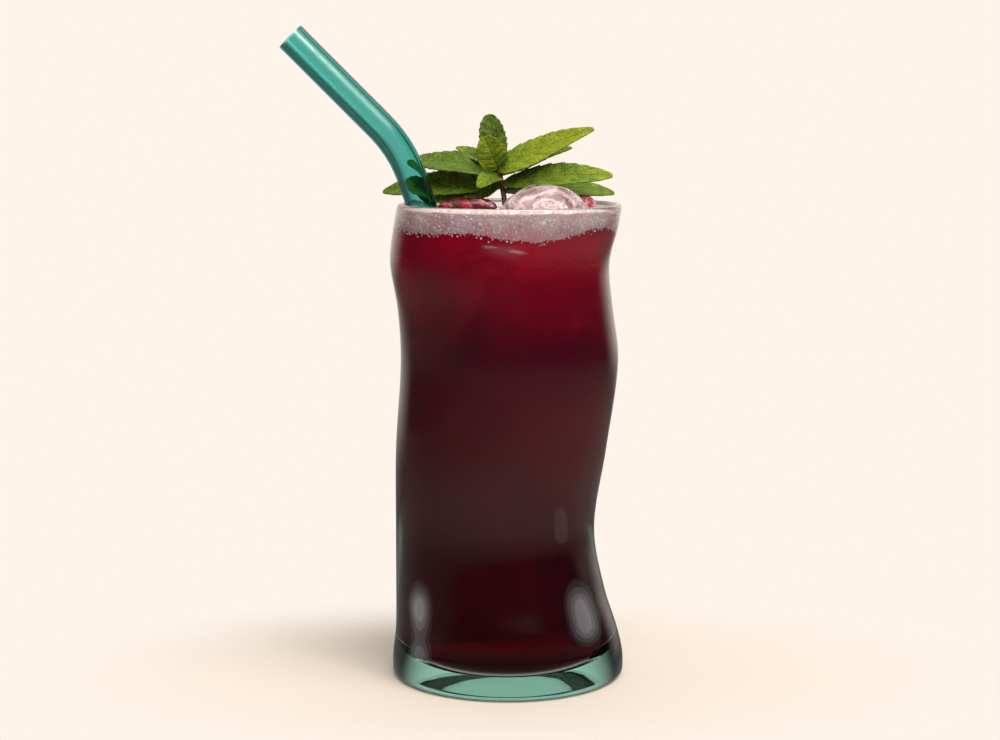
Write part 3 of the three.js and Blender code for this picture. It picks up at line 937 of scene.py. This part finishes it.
def glint_lamp(name, left, right, low, high, away, bright):
    """A soft lamp that the wall mirrors between four spots, brighter towards its middle."""
    ends = [mirrored(*spot, away)[1] for spot in (left, right, low, high)]
    middle = ((left[0] + right[0]) / 2, (left[1] + right[1]) / 2)
    spot, aim = mirrored(*middle, away)
    out = (aim - spot).normalized()
    across = ends[1] - ends[0]
    wide = across.length
    across = (across - across.dot(out) * out).normalized()
    rise = out.cross(across)
    tall = abs((ends[3] - ends[2]).dot(rise))
    turn = Matrix((across, rise, out)).transposed().to_euler()
    for step, share in enumerate((1.0, 0.8, 0.6, 0.4)):
        data = bpy.data.lights.new(f"{name}_{step + 1}", "AREA")
        data.shape = "ELLIPSE"
        data.size = wide * share * MM
        data.size_y = tall * share * MM
        area = math.pi / 4 * wide * tall * share * share * MM * MM
        data.energy = bright * (step + 1) / 4 * math.pi * area
        lamp = bpy.data.objects.new(data.name, data)
        lamp.location = ((ends[0] + ends[1]) / 2 - out * step * OVERLAP) * MM
        lamp.rotation_euler = turn
        lamp.visible_camera = False
        lamp.visible_diffuse = False
        lamp.visible_transmission = False
        bpy.context.collection.objects.link(lamp)


def paper_floor():
    """Cream paper under the tumbler, matt, fading into the background."""
    fresh()
    place = (0, 0, -FLOOR_DROP * MM)
    bpy.ops.mesh.primitive_circle_add(vertices=96, radius=FLOOR_RADIUS * MM, fill_type="NGON", location=place)
    floor = bpy.context.object
    floor.visible_transmission = False
    floor.visible_glossy = False
    floor.name = "floor"
    paper, tree = material("cream_paper")
    spot = add(tree, "TexCoord").outputs["Object"]
    squeezed = add(tree, "VectorMath", {0: spot, 1: (1, 1.7, 1)}, operation="MULTIPLY")
    distance = add(tree, "VectorMath", {0: squeezed}, operation="LENGTH").outputs["Value"]
    fade = add(tree, "MapRange", {0: distance, 1: 60 * MM, 2: 170 * MM, 3: 1.0, 4: 0.0}, **SMOOTH)
    skin = add(
        tree,
        "BsdfPrincipled",
        {"Base Color": linear("#c8c2ba"), "Roughness": 0.9, "Specular IOR Level": 0.0, "Alpha": fade},
    )
    add(tree, "OutputMaterial", {"Surface": skin})
    floor.data.materials.append(paper)


def studio_light(scene):
    """A cream background that shines from behind, above, the front and low from the table."""
    world = bpy.data.worlds.new("studio")
    scene.world = world
    world.use_nodes = True
    tree = world.node_tree
    tree.nodes.clear()
    cream = linear("#fef4ea")
    way_out = add(tree, "TexCoord").outputs["Generated"]
    way = add(tree, "SeparateXYZ", {0: way_out})
    y, z = way.outputs[1], way.outputs[2]
    behind = add(tree, "MapRange", {0: y, 1: 0.5, 2: 0.92}, **SMOOTH)
    lift = add(tree, "MapRange", {0: z, 1: -0.21, 2: -0.03, 3: BACK_LOW, 4: BACK_LIGHT}, **SMOOTH)
    back = add(tree, "Math", {0: behind, 1: lift}, operation="MULTIPLY")
    top = add(tree, "MapRange", {0: z, 1: 0.5, 2: 0.8, 3: 0.0, 4: TOP_LIGHT}, **SMOOTH)
    facing = add(tree, "VectorMath", {0: way_out, 1: KEY_WAY}, operation="DOT_PRODUCT").outputs["Value"]
    key = add(tree, "MapRange", {0: facing, 1: 0.86, 2: 0.93, 3: 0.0, 4: KEY_LIGHT}, **SMOOTH)
    near = add(tree, "MapRange", {0: z, 1: -0.45, 2: -0.12, 3: TABLE_LIGHT, 4: TABLE_FAR}, **SMOOTH)
    far_edge = add(tree, "MapRange", {0: z, 1: -0.13, 2: -0.09, 3: 1.0, 4: 0.0}, **SMOOTH)
    table = add(tree, "Math", {0: near, 1: far_edge}, operation="MULTIPLY")
    ahead = add(tree, "MapRange", {0: y, 1: -0.8, 2: -0.5, 3: FRONT_LIGHT, 4: 0.0}, **SMOOTH)
    high = add(tree, "MapRange", {0: z, 1: 0.16, 2: 0.3}, **SMOOTH)
    front = add(tree, "Math", {0: ahead, 1: high}, operation="MULTIPLY")
    room = ROOM_LIGHT
    for share in (back, top, table, key, front):
        room = add(tree, "Math", {0: share, 1: room}, operation="ADD")
    lit = add(tree, "Background", {"Color": cream, "Strength": room})
    shown = add(tree, "Background", {"Color": cream, "Strength": 1.0})
    seen = add(tree, "LightPath").outputs["Is Camera Ray"]
    mixed = add(tree, "MixShader", {0: seen, 1: lit, 2: shown})
    add(tree, "OutputWorld", {"Surface": mixed})


def small_lamp():
    data = bpy.data.lights.new("small_lamp", "AREA")
    data.size = LAMP_SIZE * MM
    data.energy = LAMP_POWER
    lamp = bpy.data.objects.new("small_lamp", data)
    lamp.location = Vector(LAMP_PLACE) * MM
    lamp.rotation_euler = (Vector(LAMP_AIM) * MM - lamp.location).to_track_quat("-Z", "Y").to_euler()
    lamp.visible_camera = False
    bpy.context.collection.objects.link(lamp)


def studio():
    scene = bpy.context.scene
    scene.view_settings.view_transform = "Standard"
    scene.cycles.max_bounces = GLASS_BOUNCES
    scene.cycles.transmission_bounces = GLASS_BOUNCES
    scene.cycles.transparent_max_bounces = 16
    scene.cycles.use_denoising = True
    scene.cycles.sample_clamp_indirect = 4.0
    paper_floor()
    studio_light(scene)
    small_lamp()
    for order, glint in enumerate(GLINTS):
        glint_lamp(f"glint_{order + 1}", *glint)

    camera_data = bpy.data.cameras.new("camera")
    camera_data.sensor_width = SENSOR_WIDTH
    camera_data.lens = CAMERA_LENS
    camera = bpy.data.objects.new("camera", camera_data)
    camera.location = Vector(CAMERA_PLACE) * MM
    camera.rotation_euler = (math.radians(90 - CAMERA_DOWN), 0, 0)
    bpy.context.collection.objects.link(camera)
    scene.camera = camera


build_drink()
studio()
